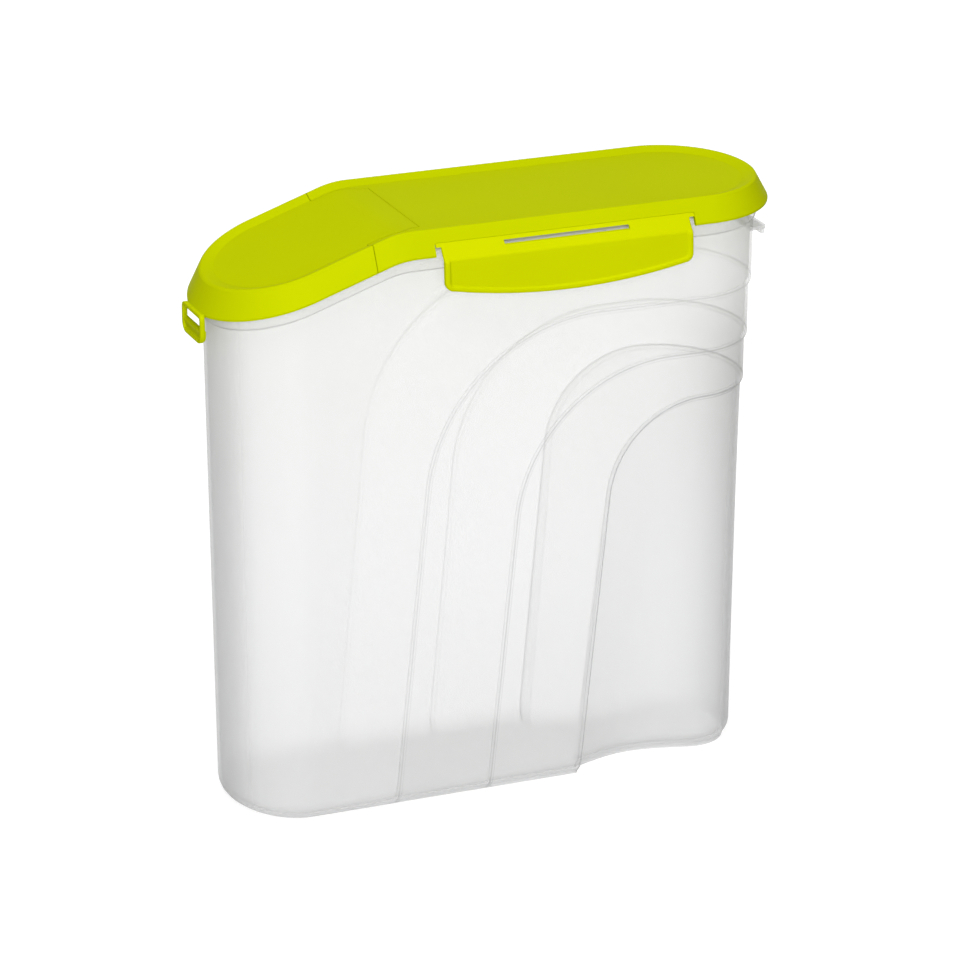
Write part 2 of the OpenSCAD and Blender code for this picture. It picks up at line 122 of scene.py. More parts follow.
# Lid: distances out from the rim and rises above the skirt's lower edge
SKIRT_OUT = 6.0
CREST_RISE = 11.0
CREST_HALF = 0.9
PANEL_SINK = 1.8
PANEL_INSET = 5.4
LID_T = 1.5
PLUG_DEPTH = 6.5
FIT = 0.3
LIP = 0.5
PANEL_RISE = CREST_RISE - PANEL_SINK
SEAT_RISE = PANEL_RISE - LID_T
RIM_RISE = SEAT_RISE - FIT

# Spout flap, and the cross wall of the lid behind it
SEAM_X = -65.4
HINGE_X = -40.5
TONGUE_HALF = 33.6
HINGE_HALF = 30.2
HINGE_NECK = 3.0
HINGE_TAPER = 6.5
FLAP_PLUG_GAP = 2.2
FLAP_PLUG_DEPTH = 3.2
FLAP_PLUG_SETBACK = 2.0
CROSS_SETBACK = 2.0
CROSS_LIFT = 0.5

# Finger loop
LOOP_WIDTH = 24.6
LOOP_HEIGHT = 13.3
LOOP_BAR = 1.8
LOOP_T = 2.2
LOOP_REACH = 1.4
LOOP_RISE = 1.6
LOOP_WINDOW = 5.7
LOOP_GRIP_T = 2.6
LOOP_CORNER = 5.5
LOOP_UPPER_CORNER = 3.0
LOOP_GRIP_RISE = 0.9
LOOP_HEAD = 1.8
LOOP_LIP = 1.4
LOOP_SCOOP = 1.3
LOOP_HEAD_INSET = 1.8
LOOP_HEAD_DROP = 0.25
LOOP_HEAD_DEPTH = 1.4 * LID_T
LOOP_SOFT = 0.45

# Side clips
CLIP_X = -36.3
CLIP_LENGTH = 114.2
CLIP_HINGE_RISE = 5.6
CLIP_FOLD_DROP = 6.7
CLIP_FOLD_OUT = 5.5
CLIP_FACE_LEAN = 1.2
CLIP_HEIGHT = 25.2
CLIP_BOW = 5.1
CLIP_CORNER = 4.0
CLIP_T = 1.6
CLIP_BEAD = 1.0
NOTCH_LENGTH = 2.6
HINGE_STRIP = 1.6
SLOT_LENGTH = 57.6
SLOT_HEIGHT = 1.7
CLIP_END = CLIP_X + CLIP_LENGTH
CLIP_MIDDLE = CLIP_X + CLIP_LENGTH / 2
CLIP_HINGE_Z = SHOULDER_Z + CLIP_HINGE_RISE
CLIP_HINGE_Y = HALF_RIM + SKIRT_OUT - (SKIRT_OUT - CREST_HALF) * (
    (CLIP_HINGE_RISE - 2 * LIP) / (CREST_RISE - 3 * LIP))
CATCH_RIB = 1.8
SLOT_START = CLIP_MIDDLE - SLOT_LENGTH / 2
SLOT_END = CLIP_MIDDLE + SLOT_LENGTH / 2
STRIP_REACH = NOTCH_LENGTH - FIT
BEAD_RISE = 0.75
EDGE_SOFT = 0.9

# A length past everything, one too small to see, a growth that is nowhere the outer one, and how near a border
# a point counts as on it
FAR = 600.0
HAIR = 0.02
NO_GROWTH = -9
TOUCH = 1e-6
MIRROR_Y = np.array([1, -1, 1])
SMOOTH_ANGLE = 40


# ---------------------------------------------------------------- curves of the form

def edge_z(x):
    """Height of the lid skirt's lower edge at places along the length."""
    x = np.asarray(x, float)
    inside = np.clip(BEND_RADIUS**2 - (x - BEND_END) ** 2, 0, None)
    bend = SHOULDER_Z - BEND_RADIUS + np.sqrt(inside)
    slope = SHOULDER_Z - (BEND_X - x) * math.tan(NOSE_SLOPE)
    return np.where(x >= BEND_END, SHOULDER_Z, np.where(x > BEND_START, bend, slope))


NOSE_RUN = math.pi / 2 * math.hypot(NOSE_REACH, HALF_BASE) / math.sqrt(2)
SIDE_RUN = REAR_CENTRE - NOSE_CENTRE
REAR_RUN = math.pi / 2 * math.hypot(REAR_REACH, HALF_BASE) / math.sqrt(2)
WHOLE_RUN = NOSE_RUN + SIDE_RUN + REAR_RUN


def outline(s, g):
    """Point of the front half of the outline, grown by g, at a run s from the nose tip to the rear tip."""
    s = np.asarray(s, float)
    nose = np.clip(s / NOSE_RUN, 0, 1) * math.pi / 2
    rear = np.clip((s - NOSE_RUN - SIDE_RUN) / REAR_RUN, 0, 1) * math.pi / 2
    side = np.clip(s - NOSE_RUN, 0, SIDE_RUN)
    x = NOSE_CENTRE - (NOSE_REACH + g) * np.cos(nose) + side + (REAR_REACH + g) * np.sin(rear)
    y = -(HALF_BASE + g) * np.sin(nose) * np.cos(rear)
    return x, y


def run_of(x):
    """Run along the base outline at which it passes a place along the length."""
    x = np.asarray(x, float)
    nose = np.arccos(np.clip((NOSE_CENTRE - x) / NOSE_REACH, 0, 1)) / (math.pi / 2) * NOSE_RUN
    rear = np.arcsin(np.clip((x - REAR_CENTRE) / REAR_REACH, 0, 1)) / (math.pi / 2) * REAR_RUN
    return nose + np.clip(x - NOSE_CENTRE, 0, SIDE_RUN) + rear


def smooth(t):
    """Soft step from 0 at 0 to 1 at 1."""
    t = np.clip(t, 0, 1)
    return t * t * (3 - 2 * t)


def risen(z, start, run):
    """Soft step from 0 to 1 over a run of height."""
    return smooth((z - start) / run)


def arc_centre(arc):
    """Centre in the side view of the round part of an arc."""
    foot, top, radius = arc
    start = top - radius + radius * math.sin(ARC_LEAN)
    return foot + start * math.tan(ARC_LEAN) + radius * math.cos(ARC_LEAN), top - radius


def arc_inside(arc, x, z):
    """How far a point of the side view lies within an arc: positive on its rear, lower side."""
    foot, top, radius = arc
    cx, cz = arc_centre(arc)
    line = (x - foot - z * math.tan(ARC_LEAN)) * math.cos(ARC_LEAN)
    ring = radius - np.hypot(x - cx, z - cz)
    below = z - cz < (cx - x) * math.tan(ARC_LEAN)
    return np.where(x > cx, np.where(z > cz, top - z, line), np.where(below, line, ring))


def within(k, x, z, inside=0.0):
    """0 outside arc step k, 1 within it, with the soft riser between."""
    return smooth((arc_inside(ARCS[k], x, z) + inside) / STEP_RISER + 0.5)


def grip_share(x, z):
    """Share of the grip hollow's depth at a point of the side view."""
    off = x - GRIP_X - z * math.tan(ARC_LEAN)
    off = off / np.where(off < 0, GRIP_SPREAD_FRONT, GRIP_SPREAD_REAR)
    fade = 1 - np.clip(z / ARCS[2][1], 0, 1) ** 2
    return fade * np.exp(-off * off / 2)


# ---------------------------------------------------------------- meshes and materials

def linked(name, data):
    """A new object in the scene with the given data."""
    obj = bpy.data.objects.new(name, data)
    bpy.context.scene.collection.objects.link(obj)
    return obj


def mesh_object(name, points, faces, smooth_angle=None):
    """A new object from points in millimetres."""
    mesh = bpy.data.meshes.new(name)
    mesh.from_pydata([Vector(p) * MM for p in points], [], [list(map(int, f)) for f in faces])
    mesh.validate()
    if smooth_angle is not None:
        mesh.shade_smooth()
        mesh.set_sharp_from_angle(angle=math.radians(smooth_angle))
    return linked(name, mesh)


def evaluated(obj, smooth_angle):
    """Applies an object's modifiers to its mesh."""
    bpy.context.view_layer.update()
    graph = bpy.context.evaluated_depsgraph_get()
    mesh = bpy.data.meshes.new_from_object(obj.evaluated_get(graph))
    obj.modifiers.clear()
    obj.data = mesh
    mesh.shade_smooth()
    mesh.set_sharp_from_angle(angle=math.radians(smooth_angle))
    return obj


def cut(obj, cutter, operation="DIFFERENCE", smooth_angle=30):
    """An object after a Boolean with a cutter, which is used up."""
    modifier = obj.modifiers.new("cut", "BOOLEAN")
    modifier.solver = "EXACT"
    modifier.operation = operation
    modifier.object = cutter
    evaluated(obj, smooth_angle)
    bpy.data.objects.remove(cutter)
    return obj


def joined(name, objects):
    """One object from several, each with its own normals kept."""
    with bpy.context.temp_override(
            active_object=objects[0], object=objects[0],
            selected_objects=objects, selected_editable_objects=objects):
        bpy.ops.object.join()
    objects[0].name = name
    objects[0].data.name = name
    return objects[0]


def new_material(name, **sockets):
    """A material with a Principled shader; sockets are named as on the shader, with _ for a space."""
    material = bpy.data.materials.new(name)
    material.use_nodes = True
    shader = material.node_tree.nodes["Principled BSDF"]
    for key, value in sockets.items():
        shader.inputs[key.replace("_", " ")].default_value = value
    return material, material.node_tree, shader


def add_node(tree, kind, **values):
    """A node with properties set by name and inputs by position, as in_0 or in_Scale."""
    node = tree.nodes.new(kind)
    for key, value in values.items():
        if key.startswith("in_"):
            slot = key[3:]
            node.inputs[int(slot) if slot.isdigit() else slot.replace("_", " ")].default_value = value
        else:
            setattr(node, key, value)
    return node


# ---------------------------------------------------------------- tub

# Points of a wall: columns round the outline, rows up the wall, and places along an arc
NOSE_COLUMNS = 26
REAR_COLUMNS = 26
SIDE_PITCH = 5.0
BEND_SPREAD = 8.0
BEND_COLUMNS = 9
ROW_PITCH = 7.0
FOOT_ROWS = 7
FIRST_ROW = 3.0
ARC_LEG_POINTS = 32
ARC_RING_POINTS = 44
ARC_REAR_POINTS = 34
# How far plain rows end below the lid's edge, and keep from an arc's rows on the wall and on the foot
COLLAR_CLEAR = 9.0
ARC_CLEAR, FOOT_CLEAR = 0.9, 0.3
NORMAL_STEP = 0.03

# The plastic's tone is kept on the points, as how frosted it is and how much painted shade it carries there:
# dark lines painted along the arc steps, the collar and the foot, and painted shade at the rounded ends.
FROST, PAINTED_SHADE = "frost", "line"
# Rows beside each arc, as distances outside it, the share of the painted shade line in each, and a weight for
# each arc; the painted line stands in for the shade at the step
RISER_ROWS = [-1.15, -0.75, -0.45, -0.15, 0.15, 0.45, 0.75, 1.15, 1.55]
SHADE_SHARES = [0.0, 0.6, 0.3, 0.0, 0.0, 0.3, 1.0, 0.8, 0.0]
SHADE_WEIGHTS = [0.75, 0.95, 1.4]
# Rows at the collar, as rises above the lid's edge, and the shares of the painted shade line along its lower
# flank in the lower ones
COLLAR_ROWS = [-7.5, -6.95, -6.5, -6.25, -6.15, -5.8, -3.2, -0.8, -0.5, -0.1, 0.7, 1.4]
COLLAR_SHADE_SHARES = [0.0, 0.5, 0.9, 0.9, 0.25, 0.2]
# Denser ends, with painted shade where the rounded ends turn from the light: tone at the tip and how far it
# reaches; the rear's is less above a height, given with its run
NOSE_FROST_AND_SHADE, NOSE_FADE = 1.1, 22.0
REAR_FROST_AND_SHADE, REAR_FADE = 1.35, 34.0
REAR_LOSS, REAR_LOSS_AT = 0.8, (170, 50)
# Frost and painted shade of the ends, painted shade along the foot, and the run up from the base over which
# all painted shade fades in
END_FROST, END_SHADE = 0.8, 0.42
FOOT_SHADE, SHADE_FADE_IN_RUN = 0.4, 1.5
RIM_FROST, RIM_START = 1.5, 0.5
# Clearer bands between the arcs, which are less clear further up, and the clearer upper wall, painted light
# that lightens it where the lid shades the inside
BAND_CLEAR, BAND_LOSS, BAND_LOSS_AT = 0.3, 0.1, (130, 70)
UPPER_PAINTED_LIGHT, UPPER_PAINTED_LIGHT_AT = 0.2, (165, 50)


def wall_height(v, inside, bottom):
    """Height and growth of the wall at a run v up from the edge of the floor."""
    r = FOOT_RADIUS - inside
    foot_run = r * math.pi / 2
    a = np.clip(v / foot_run, 0, 1) * math.pi / 2
    z = bottom + r * (1 - np.cos(a)) + np.clip(v - foot_run, 0, None)
    return z, -r * (1 - np.sin(a)) - inside + DRAFT * z / SHOULDER_Z


def run_up(z, inside, bottom):
    """Run up the wall to a height above the foot radius."""
    r = FOOT_RADIUS - inside
    return r * math.pi / 2 + z - bottom - r


def collar_growth(rise):
    """Growth of the collar below the lid, and of nothing elsewhere."""
    rises = [-COLLAR_DROP - COLLAR_FOOT, -COLLAR_DROP, COLLAR_HEAD - 2 * COLLAR_OUT, COLLAR_HEAD]
    growths = [COLLAR_ROOT, COLLAR_OUT, COLLAR_OUT, COLLAR_ROOT]
    return DRAFT + np.interp(rise, rises, growths, left=NO_GROWTH, right=NO_GROWTH)


def wall_point(s, v, inside, bottom, collar):
    """Point of the front half of a wall at a run s along the outline and a run v up the wall."""
    z, growth = wall_height(v, inside, bottom)
    base_x, _ = outline(s, 0)
    rim_x, _ = outline(s, DRAFT)
    depth = sum(within(k, base_x, z, inside) for k in range(len(ARCS)))
    growth = growth - STEP_DEPTH * depth
    if collar:
        growth = np.maximum(growth, collar_growth(z - edge_z(rim_x)))
    x, y = outline(s, growth)
    y = y * (1 - GRIP_DEPTH / HALF_BASE * grip_share(x, z) * within(2, base_x, z, inside))
    return np.stack([x, y, z], -1)


def arc_rows(arc, offset, inside, bottom):
    """Points (s, v) of an arc, moved outwards by an offset, from the floor to the rear tip."""
    _, top, radius = arc
    cx, cz = arc_centre(arc)
    r = radius + offset
    turn_z = cz + r * math.sin(ARC_LEAN)
    v = np.linspace(0, run_up(turn_z, inside, bottom), ARC_LEG_POINTS)[:-1]
    z, _ = wall_height(v, inside, bottom)
    x = cx - r * math.cos(ARC_LEAN) - (turn_z - z) * math.tan(ARC_LEAN)
    angles = np.linspace(math.pi - ARC_LEAN, math.pi / 2, ARC_RING_POINTS)
    ring_x = cx + r * np.cos(angles)
    ring_v = run_up(cz + r * np.sin(angles), inside, bottom)
    rear_s = np.linspace(run_of(cx), WHOLE_RUN, ARC_REAR_POINTS)[1:]
    s = np.concatenate([run_of(x), run_of(ring_x), rear_s])
    v = np.concatenate([v, ring_v, np.full(len(rear_s), ring_v[-1])])
    return np.stack([s, v], -1)


def wall_net(inside, bottom, collar):
    """Points (s, v), triangles and highest row of the front half of a wall, with rows along each arc."""
    columns = np.concatenate([
        np.linspace(0, NOSE_RUN, NOSE_COLUMNS, endpoint=False),
        np.arange(NOSE_RUN, NOSE_RUN + SIDE_RUN, SIDE_PITCH),
        np.linspace(NOSE_RUN + SIDE_RUN, WHOLE_RUN, REAR_COLUMNS)])
    bend = (BEND_START + BEND_END) / 2
    bend_columns = run_of(np.linspace(bend - BEND_SPREAD, bend + BEND_SPREAD, BEND_COLUMNS))
    columns = np.unique(np.concatenate([columns, bend_columns]).round(4))
    edge = edge_z(outline(columns, DRAFT)[0])
    points, chains = [], []

    def add(chain):
        """Adds a row of points whose links the net has to keep."""
        start = len(points)
        points.extend(map(tuple, chain))
        chains.append(range(start, start + len(chain)))

    for arc in ARCS:
        for offset in RISER_ROWS:
            add(arc_rows(arc, offset + inside, inside, bottom))
    for rise in COLLAR_ROWS if collar else []:
        add(np.stack([columns, run_up(edge + rise, inside, bottom)], -1))
    top = np.stack([columns, run_up(edge + RIM_RISE, inside, bottom)], -1)
    add(top)

    foot_run = (FOOT_RADIUS - inside) * math.pi / 2
    rows = np.concatenate([
        np.linspace(0, foot_run, FOOT_ROWS),
        np.arange(foot_run + FIRST_ROW, run_up(SHOULDER_Z, inside, bottom), ROW_PITCH)])
    s, v = np.meshgrid(columns, rows, indexing="ij")
    clear = v < run_up(edge, inside, bottom)[:, None] - COLLAR_CLEAR
    z, _ = wall_height(v, inside, bottom)
    x, _ = outline(s, 0)
    for arc in ARCS:
        gap = RISER_ROWS[-1] + np.where(v > foot_run, ARC_CLEAR, FOOT_CLEAR)
        clear &= np.abs(arc_inside(arc, x, z) + inside) > gap
    points.extend(zip(s[clear], v[clear]))

    net = np.array(points)
    edges = [(a, b) for chain in chains for a, b in zip(chain[:-1], chain[1:])]
    for at, key in ((net[:, 0] < TOUCH, 1), (net[:, 0] > WHOLE_RUN - TOUCH, 1), (net[:, 1] < TOUCH, 0)):
        border = np.nonzero(at)[0]
        border = border[np.argsort(net[border, key])]
        edges.extend(zip(border[:-1].tolist(), border[1:].tolist()))
    made = delaunay_2d_cdt([Vector(p) for p in net.tolist()], edges, [], 0, 1e-5)
    net, triangles = np.array([tuple(p) for p in made[0]]), np.array(made[2])
    middle = net[triangles].mean(1)
    under = middle[:, 1] < np.interp(middle[:, 0], top[:, 0], top[:, 1])
    return net, triangles[under], top


def wall_tone(s, z, inside):
    """How frosted a wall is and how much painted shade it shows, at runs along the outline and heights."""
    base_x = outline(s, 0)[0]
    if inside > 0:
        bands = within(0, base_x, z, inside) * (1 - within(2, base_x, z, inside))
        band_clear = BAND_CLEAR - BAND_LOSS * risen(z, *BAND_LOSS_AT)
        # The upper wall is made clearer as painted light, where the lid shades the inside
        frost = (1 - band_clear * bands) * (1 - UPPER_PAINTED_LIGHT * risen(z, *UPPER_PAINTED_LIGHT_AT))
        return frost, np.zeros(len(s))
    # Painted shade at the rounded ends, less on the rear above a height
    rear = REAR_FROST_AND_SHADE - REAR_LOSS * risen(z, *REAR_LOSS_AT)
    ends = NOSE_FROST_AND_SHADE * np.exp(-(s / NOSE_FADE) ** 4) + rear * np.exp(-((WHOLE_RUN - s) / REAR_FADE) ** 2)
    # Painted shade along the foot, where it faces down
    foot = np.clip(1 - z / (FOOT_RADIUS + 1), 0, 1)
    rise = z - edge_z(outline(s, DRAFT)[0])
    rim = smooth(rise - RIM_START)
    # Frost of the collar band and a painted shade line along its lower flank, from the same shares
    collar = np.interp(rise, COLLAR_ROWS[:len(COLLAR_SHADE_SHARES)], COLLAR_SHADE_SHARES)
    frost = END_FROST * np.maximum(np.maximum(ends, foot), collar) + RIM_FROST * rim
    line = END_SHADE * ends + FOOT_SHADE * foot + collar * (1 - rim)
    # Painted shade lines along each arc's step
    for arc, weight in zip(ARCS, SHADE_WEIGHTS):
        line += weight * np.interp(-arc_inside(arc, base_x, z), RISER_ROWS, SHADE_SHARES)
    return frost, line * smooth(z / SHADE_FADE_IN_RUN)


def wall_patch(inside, bottom, collar):
    """A whole wall with normals and tones, made from its front half, and its lowest and highest rows."""
    net, triangles, top = wall_net(inside, bottom, collar)
    s, v = net[:, 0], net[:, 1]
    here = wall_point(s, v, inside, bottom, collar)
    s_low, s_high = np.clip(s - NORMAL_STEP, 0, WHOLE_RUN), np.clip(s + NORMAL_STEP, 0, WHOLE_RUN)
    v_low, v_high = np.clip(v - NORMAL_STEP, 0, None), v + NORMAL_STEP
    along = wall_point(s_high, v, inside, bottom, collar) - wall_point(s_low, v, inside, bottom, collar)
    up = wall_point(s, v_high, inside, bottom, collar) - wall_point(s, v_low, inside, bottom, collar)
    normals = np.cross(along, up)
    tips = (s < TOUCH) | (s > WHOLE_RUN - TOUCH)
    normals[tips, 1] = here[tips, 1] = 0
    normals /= np.linalg.norm(normals, axis=1)[:, None]
    a, b, c = here[triangles[:, 0]], here[triangles[:, 1]], here[triangles[:, 2]]
    flipped = np.einsum("ij,ij->i", np.cross(b - a, c - a), normals[triangles[:, 0]]) < 0
    triangles[flipped] = triangles[flipped][:, ::-1]
    if inside > 0:
        normals = -normals
        triangles = triangles[:, ::-1]
    frost, line = wall_tone(s, here[:, 2], inside)
    patch = {
        "points": np.concatenate([here, here * MIRROR_Y]),
        "normals": np.concatenate([normals, normals * MIRROR_Y]),
        "faces": np.concatenate([triangles, triangles[:, ::-1] + len(here)]).tolist(),
        FROST: np.tile(frost, 2), PAINTED_SHADE: np.tile(line, 2)}
    low_row = np.nonzero(v < TOUCH)[0]
    high_row = np.nonzero(np.abs(v - np.interp(s, top[:, 0], top[:, 1])) < 1e-4)[0]
    rows = [here[row[np.argsort(s[row])]] for row in (low_row, high_row)]
    return patch, *rows


def strip_patch(first, second, turned):
    """A strip of faces between two rows of points."""
    n = len(first)
    faces = [(i, i + 1, n + i + 1, n + i) for i in range(n - 1)]
    if turned:
        faces = [f[::-1] for f in faces]
    points = np.concatenate([first, second])
    a, b, c = (points[[f[k] for f in faces]] for k in range(3))
    normal = np.cross(b - a, c - a)
    normals = np.zeros_like(points)
    for face, value in zip(faces, normal):
        normals[list(face)] += value
    normals /= np.maximum(np.linalg.norm(normals, axis=1), 1e-9)[:, None]
    tones = {FROST: np.ones(2 * n), PAINTED_SHADE: np.zeros(2 * n)}
    return {"points": points, "normals": normals, "faces": faces, **tones}


def welded(name, patches):
    """One closed mesh from patches with shared borders; each corner keeps the normal of its own patch."""
    points = np.concatenate([patch["points"] for patch in patches]).round(4) + 0.0
    normals = np.concatenate([patch["normals"] for patch in patches])
    places, index = np.unique(points, axis=0, return_inverse=True)
    index = index.ravel()
    faces, corners, start = [], [], 0
    for patch in patches:
        for face in patch["faces"]:
            ring = [start + k for k in face]
            ring = [k for j, k in enumerate(ring) if index[k] != index[ring[j - 1]]]
            if len(ring) > 2:
                faces.append([int(index[k]) for k in ring])
                corners.extend(ring)
        start += len(patch["points"])
    mesh = bpy.data.meshes.new(name)
    mesh.from_pydata([Vector(p) * MM for p in places.tolist()], [], faces)
    mesh.shade_smooth()
    mesh.normals_split_custom_set([Vector(normals[k]) for k in corners])
    for key in (FROST, PAINTED_SHADE):
        values = np.zeros(len(places))
        np.maximum.at(values, index, np.concatenate([patch[key] for patch in patches]))
        mesh.attributes.new(key, "FLOAT", "POINT").data.foreach_set("value", values.astype(np.float32))
    return linked(name, mesh)


def rounded_box(name, low, high, radius):
    """A closed block between two corners with rounded edges."""
    low, high = Vector(low), Vector(high)
    mesh = bmesh.new()
    bmesh.ops.create_cube(mesh, size=1)
    for vertex in mesh.verts:
        for axis in range(3):
            vertex.co[axis] = (low[axis] if vertex.co[axis] < 0 else high[axis]) * MM
    bmesh.ops.bevel(mesh, geom=mesh.edges[:], offset=radius * MM, segments=4, profile=0.5, affect="EDGES")
    data = bpy.data.meshes.new(name)
    mesh.to_mesh(data)
    mesh.free()
    data.shade_smooth()
    data.set_sharp_from_angle(angle=math.radians(SMOOTH_ANGLE))
    return linked(name, data)


def rounded_plate(name, outline_points, z_low, z_high, edge):
    """A flat plate with a plan outline and softened upper and lower edges."""
    n = len(outline_points)
    plan = np.array(outline_points, float)
    centre = plan.mean(0)
    levels = [(z_low, edge), (z_low + edge * 0.3, edge * 0.3), (z_low + edge, 0)]
    levels += [(z_high - edge, 0), (z_high - edge * 0.3, edge * 0.3), (z_high, edge)]
    rings = []
    for z, inset in levels:
        shrink = 1 - inset / np.linalg.norm(plan - centre, axis=1)[:, None]
        rings.append(np.column_stack([centre + (plan - centre) * shrink, np.full(n, z)]))
    faces = [tuple(range(n))[::-1], tuple(range(5 * n, 6 * n))]
    for low in range(0, 5 * n, n):
        high = low + n
        faces += [(low + i, low + (i + 1) % n, high + (i + 1) % n, high + i) for i in range(n)]
    return mesh_object(name, np.concatenate(rings), faces, SMOOTH_ANGLE)


def rear_tab():
    """Small tab at the rear with a lip that turns down."""
    rear = REAR_CENTRE + REAR_REACH + DRAFT
    top = SHOULDER_Z - TAB_DROP
    tip = rear + TAB_REACH - HAIR
    half, flat = TAB_WIDTH / 2, TAB_WIDTH / 2 - TAB_CORNER
    turn = [math.radians(a) for a in range(0, 91, 10)]
    corner_x = tip - TAB_CORNER
    front = [(corner_x + TAB_CORNER * math.sin(a), -flat - TAB_CORNER * math.cos(a)) for a in turn]
    back = [(x, -y) for x, y in front[::-1]]
    plan = [(rear - TAB_ROOT, -half), *front, *back, (rear - TAB_ROOT, half)]
    plate = rounded_plate("tab_plate", plan, top - TAB_T, top, 0.35)
    lip = rounded_box(
        "tab_lip", (tip - TAB_LIP_T, -flat, top - TAB_LIP), (tip - HAIR, flat, top - TAB_T / 2), 0.5)
    return joined("rear_tab", [plate, lip])


def ledge(side):
    """Ledge on a long side under which a clip snaps."""
    z = SHOULDER_Z - COLLAR_DROP - LEDGE_T
    low_y, high_y = sorted([side * (HALF_RIM + HAIR), side * (HALF_RIM + LEDGE_OUT)])
    low = (CLIP_X + LEDGE_INSET, low_y, z + LEDGE_T / 2)
    high = (CLIP_END - LEDGE_INSET, high_y, z + 1.5 * LEDGE_T)
    return rounded_box("ledge", low, high, 0.4)


def build_tub():
    """The tub as one closed shell, with the tab and the ledges."""
    outer, outer_low, outer_high = wall_patch(0, 0, True)
    inner, inner_low, inner_high = wall_patch(WALL, FLOOR_T, False)
    shell = welded("tub_shell", [
        outer, inner,
        strip_patch(outer_low, outer_low * MIRROR_Y, True),
        strip_patch(inner_low, inner_low * MIRROR_Y, False),
        strip_patch(outer_high, inner_high, False),
        strip_patch(outer_high * MIRROR_Y, inner_high * MIRROR_Y, True)])
    extras = [rear_tab(), ledge(-1), ledge(1)]
    for part in extras:
        frost = part.data.attributes.new(FROST, "FLOAT", "POINT")
        frost.data.foreach_set("value", np.ones(len(part.data.vertices), np.float32))
        part.data.attributes.new(PAINTED_SHADE, "FLOAT", "POINT")
    return joined("tub_shell", [shell, *extras])


# ---------------------------------------------------------------- lid and flap

CORNER_SHARE = 0.45
RIM_END_COLUMNS = 40
RIM_BEND_COLUMNS = 14


def rounded_path(corners, closed, steps=5):
    """A path through corners given as (a, b, radius), each rounded within its share of the sides there."""
    n = len(corners)
    path = []
    for i, (a, b, radius) in enumerate(corners):
        here = np.array([a, b], float)
        if radius == 0 or (not closed and i in (0, n - 1)):
            path.append(here)
            continue
        before = np.array(corners[i - 1][:2]) - here
        after = np.array(corners[(i + 1) % n][:2]) - here
        before_len, after_len = np.linalg.norm(before), np.linalg.norm(after)
        before, after = before / before_len, after / after_len
        angle = math.acos(np.clip(before @ after, -1, 1))
        reach = min(radius / math.tan(angle / 2), CORNER_SHARE * before_len, CORNER_SHARE * after_len)
        start, end = here + before * reach, here + after * reach
        for t in np.linspace(0, 1, steps + 1):
            path.append((1 - t) ** 2 * start + 2 * t * (1 - t) * here + t * t * end)
    return np.array(path)


RIM_COLUMNS = np.unique(np.concatenate([
    np.linspace(0, NOSE_RUN, RIM_END_COLUMNS),
    run_of(np.linspace(BEND_START, BEND_END, RIM_BEND_COLUMNS)),
    np.linspace(NOSE_RUN + SIDE_RUN, WHOLE_RUN, RIM_END_COLUMNS)]).round(5))


def ring_points(out, rise):
    """The whole outline at a distance out from the tub and a rise above the skirt's lower edge."""
    x, y = outline(RIM_COLUMNS, DRAFT + out)
    z = edge_z(x) + rise
    front = np.stack([x, y, z], -1)
    return np.concatenate([front, front[-2:0:-1] * MIRROR_Y])


def swept_ring(name, section, capped=False):
    """A section (out, rise) run round the outline, closed on itself or capped by bent plates."""
    rings = [ring_points(out, rise) for out, rise in section]
    m, n = len(rings[0]), len(rings)
    count = n - 1 if capped else n
    faces = []
    for j in range(count):
        k = (j + 1) % n
        faces += [(j * m + i, j * m + (i + 1) % m, k * m + (i + 1) % m, k * m + i) for i in range(m)]
    if capped:
        half = m // 2
        for j, flip in ((0, False), (n - 1, True)):
            strip = [(0, 1, m - 1)]
            strip += [(i, i + 1, m - i - 1, m - i) for i in range(1, half - 1)]
            strip.append((half - 1, half, half + 1))
            for f in strip:
                f = tuple(j * m + v for v in f)
                faces.append(f if flip else f[::-1])
    return mesh_object(name, np.concatenate(rings), faces, SMOOTH_ANGLE)


def cover():
    """Skirt, crest and panel of the whole cover, before the flap is parted from it."""
    foot = LID_T * 1.15
    section = rounded_path([
        (2 * FIT, SEAT_RISE, 0),
        (SKIRT_OUT - foot, 0, 0.4),
        (SKIRT_OUT, 0, 0.7),
        (SKIRT_OUT, 2 * LIP, 0.8),
        (CREST_HALF, CREST_RISE - LIP, 1.1),
        (0, CREST_RISE, 0.9),
        (-CREST_HALF, CREST_RISE - LIP / 3, 0.9),
        (-PANEL_INSET, PANEL_RISE, 1.2),
        (-PANEL_INSET - 1.5, PANEL_RISE, 0)], closed=False)
    return swept_ring("cover", section, capped=True)


def plug(name, gap, depth, thickness):
    """A wall that reaches down inside the tub at a gap from it."""
    out = -WALL - gap
    foot = RIM_RISE - depth
    root = SEAT_RISE + LID_T / 2
    section = rounded_path([
        (out - thickness, root, 0), (out - thickness, foot, 0.4), (out, foot, 0.8), (out, root, 0)],
        closed=False)
    return swept_ring(name, section)


def prism(name, plan, low, high, axis=2):
    """A closed prism along an axis, over a flat outline that holds the other two coordinates."""
    n = len(plan)
    points = [np.insert(np.array(p, float), axis, c) for c in (low, high) for p in plan]
    faces = [tuple(range(n))[::-1], tuple(range(n, 2 * n))]
    faces += [(i, (i + 1) % n, n + (i + 1) % n, n + i) for i in range(n)]
    obj = mesh_object(name, points, faces)
    mesh = bmesh.new()
    mesh.from_mesh(obj.data)
    bmesh.ops.recalc_face_normals(mesh, faces=mesh.faces)
    mesh.to_mesh(obj.data)
    mesh.free()
    return obj


